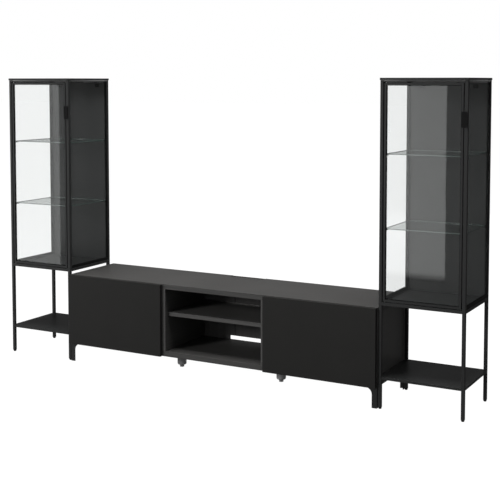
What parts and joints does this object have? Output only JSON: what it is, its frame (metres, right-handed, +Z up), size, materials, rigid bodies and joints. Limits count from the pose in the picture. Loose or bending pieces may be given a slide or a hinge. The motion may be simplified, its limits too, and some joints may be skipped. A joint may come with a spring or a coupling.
{
  "type": "media cabinet",
  "caption": "Low media bench with push-to-open doors round an open shelved bay, standing between tall steel-framed glass-door cabinets with open legs below.",
  "frame": {"origin": "on the floor, under the middle of the whole arrangement's box", "axes": "+X along the bench towards the right cabinet as seen from the front, +Y towards the back, +Z up; the fronts face -Y"},
  "size_m": [2.644, 0.42, 1.55],
  "materials": {
    "black_brown_board": "satin black-brown foil on particleboard with a faint grain",
    "thin_back_board": "matt printed fibreboard",
    "black_door_foil": "satin near-black foil on board",
    "black_powder_coat": "fine-textured satin black powder coat",
    "clear_glass": "clear tempered glass",
    "nickel_plate": "satin nickel plate",
    "grey_plastic": "satin grey moulded plastic",
    "black_plastic": "satin black moulded plastic"
  },
  "bodies": {
    "carcass_and_frames": {"bench_top_panel": "black_brown_board", "bench_bottom_panel": "black_brown_board", "bench_left_side": "black_brown_board", "bench_left_partition": "black_brown_board", "bench_right_partition": "black_brown_board", "bench_right_side": "black_brown_board", "bench_centre_shelf": "black_brown_board", "bench_left_back_panel": "thin_back_board", "bench_centre_back_panel": "thin_back_board", "bench_right_back_panel": "thin_back_board", "bench_front_left_leg": "black_powder_coat", "bench_front_right_leg": "black_powder_coat", "bench_rear_left_leg": "black_powder_coat", "bench_rear_right_leg": "black_powder_coat", "bench_left_middle_foot": "grey_plastic", "bench_right_middle_foot": "grey_plastic", "bench_left_lower_hinge_arm": "nickel_plate", "bench_left_upper_hinge_arm": "nickel_plate", "bench_left_push_latch": "black_plastic", "left_cabinet_magnet_catch": "black_plastic", "left_cabinet_frame": "black_powder_coat", "left_cabinet_top_panel": "black_powder_coat", "left_cabinet_floor_panel": "black_powder_coat", "left_cabinet_back_panel": "black_powder_coat", "left_cabinet_low_shelf": "black_powder_coat", "left_cabinet_left_side_glass": "clear_glass", "left_cabinet_right_side_glass": "clear_glass", "left_cabinet_lower_glass_shelf": "clear_glass", "left_cabinet_upper_glass_shelf": "clear_glass", "bench_right_lower_hinge_arm": "nickel_plate", "bench_right_upper_hinge_arm": "nickel_plate", "bench_right_push_latch": "black_plastic", "right_cabinet_magnet_catch": "black_plastic", "right_cabinet_frame": "black_powder_coat", "right_cabinet_top_panel": "black_powder_coat", "right_cabinet_floor_panel": "black_powder_coat", "right_cabinet_back_panel": "black_powder_coat", "right_cabinet_low_shelf": "black_powder_coat", "right_cabinet_left_side_glass": "clear_glass", "right_cabinet_right_side_glass": "clear_glass", "right_cabinet_lower_glass_shelf": "clear_glass", "right_cabinet_upper_glass_shelf": "clear_glass"},
    "left_glass_door": {"left_glass_door_frame": "black_powder_coat", "left_glass_door_pane": "clear_glass", "left_glass_door_grip": "black_powder_coat", "left_glass_door_lower_pivot_pin": "nickel_plate", "left_glass_door_upper_pivot_pin": "nickel_plate"},
    "left_bench_door": {"bench_left_door": "black_door_foil", "bench_left_door_lower_hinge_cup": "nickel_plate", "bench_left_door_upper_hinge_cup": "nickel_plate"},
    "left_plunger": {"bench_left_latch_plunger": "black_plastic"},
    "right_glass_door": {"right_glass_door_frame": "black_powder_coat", "right_glass_door_pane": "clear_glass", "right_glass_door_grip": "black_powder_coat", "right_glass_door_lower_pivot_pin": "nickel_plate", "right_glass_door_upper_pivot_pin": "nickel_plate"},
    "right_bench_door": {"bench_right_door": "black_door_foil", "bench_right_door_lower_hinge_cup": "nickel_plate", "bench_right_door_upper_hinge_cup": "nickel_plate"},
    "right_plunger": {"bench_right_latch_plunger": "black_plastic"}
  },
  "joints": [
    {"name": "left_glass_door_hinge", "type": "hinge", "parent": "carcass_and_frames", "child": "left_glass_door", "pos_m": [-1.293, -0.181, 1.019], "axis": [0, 0, -1], "range_deg": [0, 110]},
    {"name": "right_glass_door_hinge", "type": "hinge", "parent": "carcass_and_frames", "child": "right_glass_door", "pos_m": [0.931, -0.181, 1.019], "axis": [0, 0, -1], "range_deg": [0, 110]},
    {"name": "left_bench_door_hinge", "type": "hinge", "parent": "carcass_and_frames", "child": "left_bench_door", "pos_m": [-0.8945, -0.1985, 0.289], "axis": [0, 0, -1], "range_deg": [0, 95]},
    {"name": "right_bench_door_hinge", "type": "hinge", "parent": "carcass_and_frames", "child": "right_bench_door", "pos_m": [0.8945, -0.1985, 0.289], "axis": [0, 0, 1], "range_deg": [0, 95]},
    {"name": "left_latch_plunger_slide", "type": "slide", "parent": "carcass_and_frames", "child": "left_plunger", "axis": [0, 1, 0], "range_m": [0, 0.004], "stiffness_N_per_m": 100, "springref_m": -0.003},
    {"name": "right_latch_plunger_slide", "type": "slide", "parent": "carcass_and_frames", "child": "right_plunger", "axis": [0, 1, 0], "range_m": [0, 0.004], "stiffness_N_per_m": 100, "springref_m": -0.003}
  ]
}
